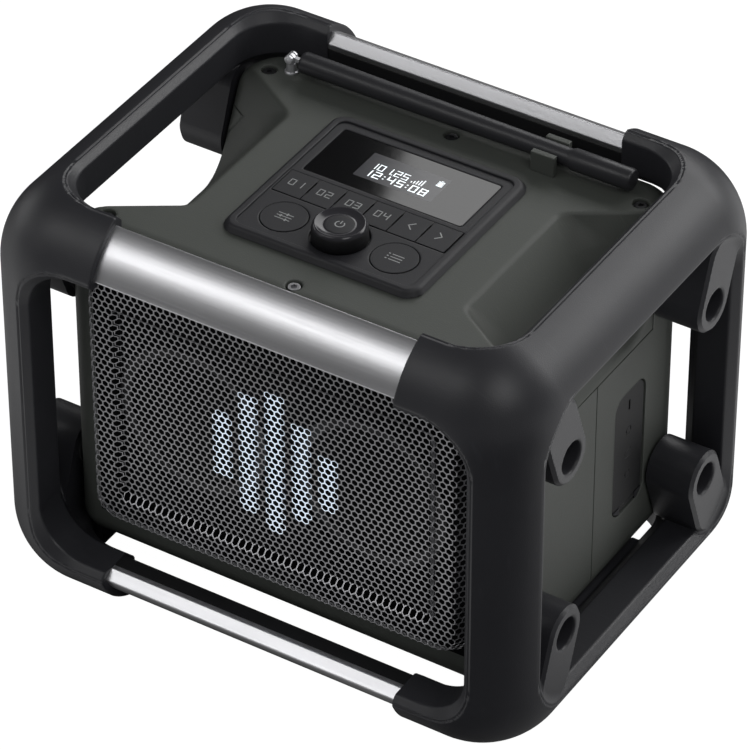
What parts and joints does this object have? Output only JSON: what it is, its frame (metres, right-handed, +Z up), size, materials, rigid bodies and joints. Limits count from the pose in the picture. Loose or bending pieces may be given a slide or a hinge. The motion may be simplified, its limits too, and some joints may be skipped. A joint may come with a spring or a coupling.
{
  "type": "jobsite speaker",
  "caption": "Rugged portable speaker: a housing with mesh grille, key panel, knob and folding antenna, hung inside a rounded roll cage with aluminium cross bars.",
  "frame": {"origin": "on the floor under the middle of the cage, between the four feet", "axes": "+Z up, front with the grille towards -Y, +X to the right seen from the front"},
  "size_m": [0.3266, 0.2586, 0.2543],
  "materials": {
    "cage_black": "satin",
    "shell_olive": "matte",
    "bar_aluminium": "satin",
    "core_black": "matte",
    "steel": "satin",
    "grille_paint": "satin",
    "rubber_black": "matte",
    "panel_black": "satin",
    "key_black": "satin",
    "lens_black": "gloss",
    "display_lit": "gloss",
    "chrome": "polished",
    "board_green": "satin",
    "cone_black": "matte",
    "magnet": "matte",
    "cell_wrap": "gloss"
  },
  "bodies": {
    "housing": {"left_end_frame": "cage_black", "right_end_frame": "cage_black", "bar_front_top": "bar_aluminium", "bar_rear_top": "bar_aluminium", "bar_front_bottom": "bar_aluminium", "bar_rear_bottom": "bar_aluminium", "bar_cores": "core_black", "bar_screws": "steel", "lug_washers": "rubber_black", "lug_screws": "steel", "feet": "rubber_black", "front_shell": "shell_olive", "rear_shell": "shell_olive", "top_cover": "shell_olive", "top_screws": "steel", "shell_screws": "steel", "grille": "grille_paint", "battery_door": "shell_olive", "door_screws": "steel", "driver_frames": "steel", "driver_magnets": "magnet", "surrounds": "rubber_black", "driver_screws": "steel", "panel_bezel": "panel_black", "display_lens": "lens_black", "display_module": "display_lit", "panel_board": "board_green", "switches": "steel", "encoder": "steel", "antenna_post": "chrome", "antenna_pin": "steel", "antenna_clip": "shell_olive", "port_pin": "steel", "port_plate": "panel_black", "port_sockets": "steel", "battery_pack": "cell_wrap", "main_board": "board_green", "heat_sink": "bar_aluminium"},
    "key_1": {"key_1": "key_black"},
    "key_2": {"key_2": "key_black"},
    "key_3": {"key_3": "key_black"},
    "key_4": {"key_4": "key_black"},
    "key_5": {"key_5": "key_black"},
    "key_6": {"key_6": "key_black"},
    "round_key_left": {"round_key_left": "key_black"},
    "round_key_right": {"round_key_right": "key_black"},
    "shaft": {"encoder_shaft": "steel"},
    "knob": {"knob": "panel_black", "knob_cap": "key_black"},
    "antenna": {"antenna_tongue": "chrome", "antenna_whip": "rubber_black"},
    "port_cover": {"port_cover": "rubber_black"},
    "cone_left": {"cone_left": "cone_black"},
    "cone_right": {"cone_right": "cone_black"}
  },
  "joints": [
    {"name": "key_1_press", "type": "slide", "parent": "housing", "child": "key_1", "axis": [0, 0, -1], "range_m": [0, 0.0008], "stiffness_N_per_m": 800, "springref_m": -0.0006},
    {"name": "key_2_press", "type": "slide", "parent": "housing", "child": "key_2", "axis": [0, 0, -1], "range_m": [0, 0.0008], "stiffness_N_per_m": 800, "springref_m": -0.0006},
    {"name": "key_3_press", "type": "slide", "parent": "housing", "child": "key_3", "axis": [0, 0, -1], "range_m": [0, 0.0008], "stiffness_N_per_m": 800, "springref_m": -0.0006},
    {"name": "key_4_press", "type": "slide", "parent": "housing", "child": "key_4", "axis": [0, 0, -1], "range_m": [0, 0.0008], "stiffness_N_per_m": 800, "springref_m": -0.0006},
    {"name": "key_5_press", "type": "slide", "parent": "housing", "child": "key_5", "axis": [0, 0, -1], "range_m": [0, 0.0008], "stiffness_N_per_m": 800, "springref_m": -0.0006},
    {"name": "key_6_press", "type": "slide", "parent": "housing", "child": "key_6", "axis": [0, 0, -1], "range_m": [0, 0.0008], "stiffness_N_per_m": 800, "springref_m": -0.0006},
    {"name": "round_key_left_press", "type": "slide", "parent": "housing", "child": "round_key_left", "axis": [0, 0, -1], "range_m": [0, 0.0008], "stiffness_N_per_m": 800, "springref_m": -0.0006},
    {"name": "round_key_right_press", "type": "slide", "parent": "housing", "child": "round_key_right", "axis": [0, 0, -1], "range_m": [0, 0.0008], "stiffness_N_per_m": 800, "springref_m": -0.0006},
    {"name": "knob_press", "type": "slide", "parent": "housing", "child": "shaft", "axis": [0, 0, -1], "range_m": [0, 0.0006], "stiffness_N_per_m": 1500, "springref_m": -0.0006},
    {"name": "knob_turn", "type": "hinge", "parent": "shaft", "child": "knob", "pos_m": [0, -0.033, 0.238], "axis": [0, 0, -1], "continuous": true},
    {"name": "antenna_lift", "type": "hinge", "parent": "housing", "child": "antenna", "pos_m": [-0.102, 0.0805, 0.2388], "axis": [0, -1, 0], "range_deg": [0, 90]},
    {"name": "port_cover_open", "type": "hinge", "parent": "housing", "child": "port_cover", "pos_m": [0.1293, 0.0402, 0.0646], "axis": [0, 1, 0], "range_deg": [0, 100]},
    {"name": "cone_left_stroke", "type": "slide", "parent": "housing", "child": "cone_left", "axis": [0, -1, 0], "range_m": [-0.002, 0.002], "stiffness_N_per_m": 1200},
    {"name": "cone_right_stroke", "type": "slide", "parent": "housing", "child": "cone_right", "axis": [0, -1, 0], "range_m": [-0.002, 0.002], "stiffness_N_per_m": 1200}
  ]
}
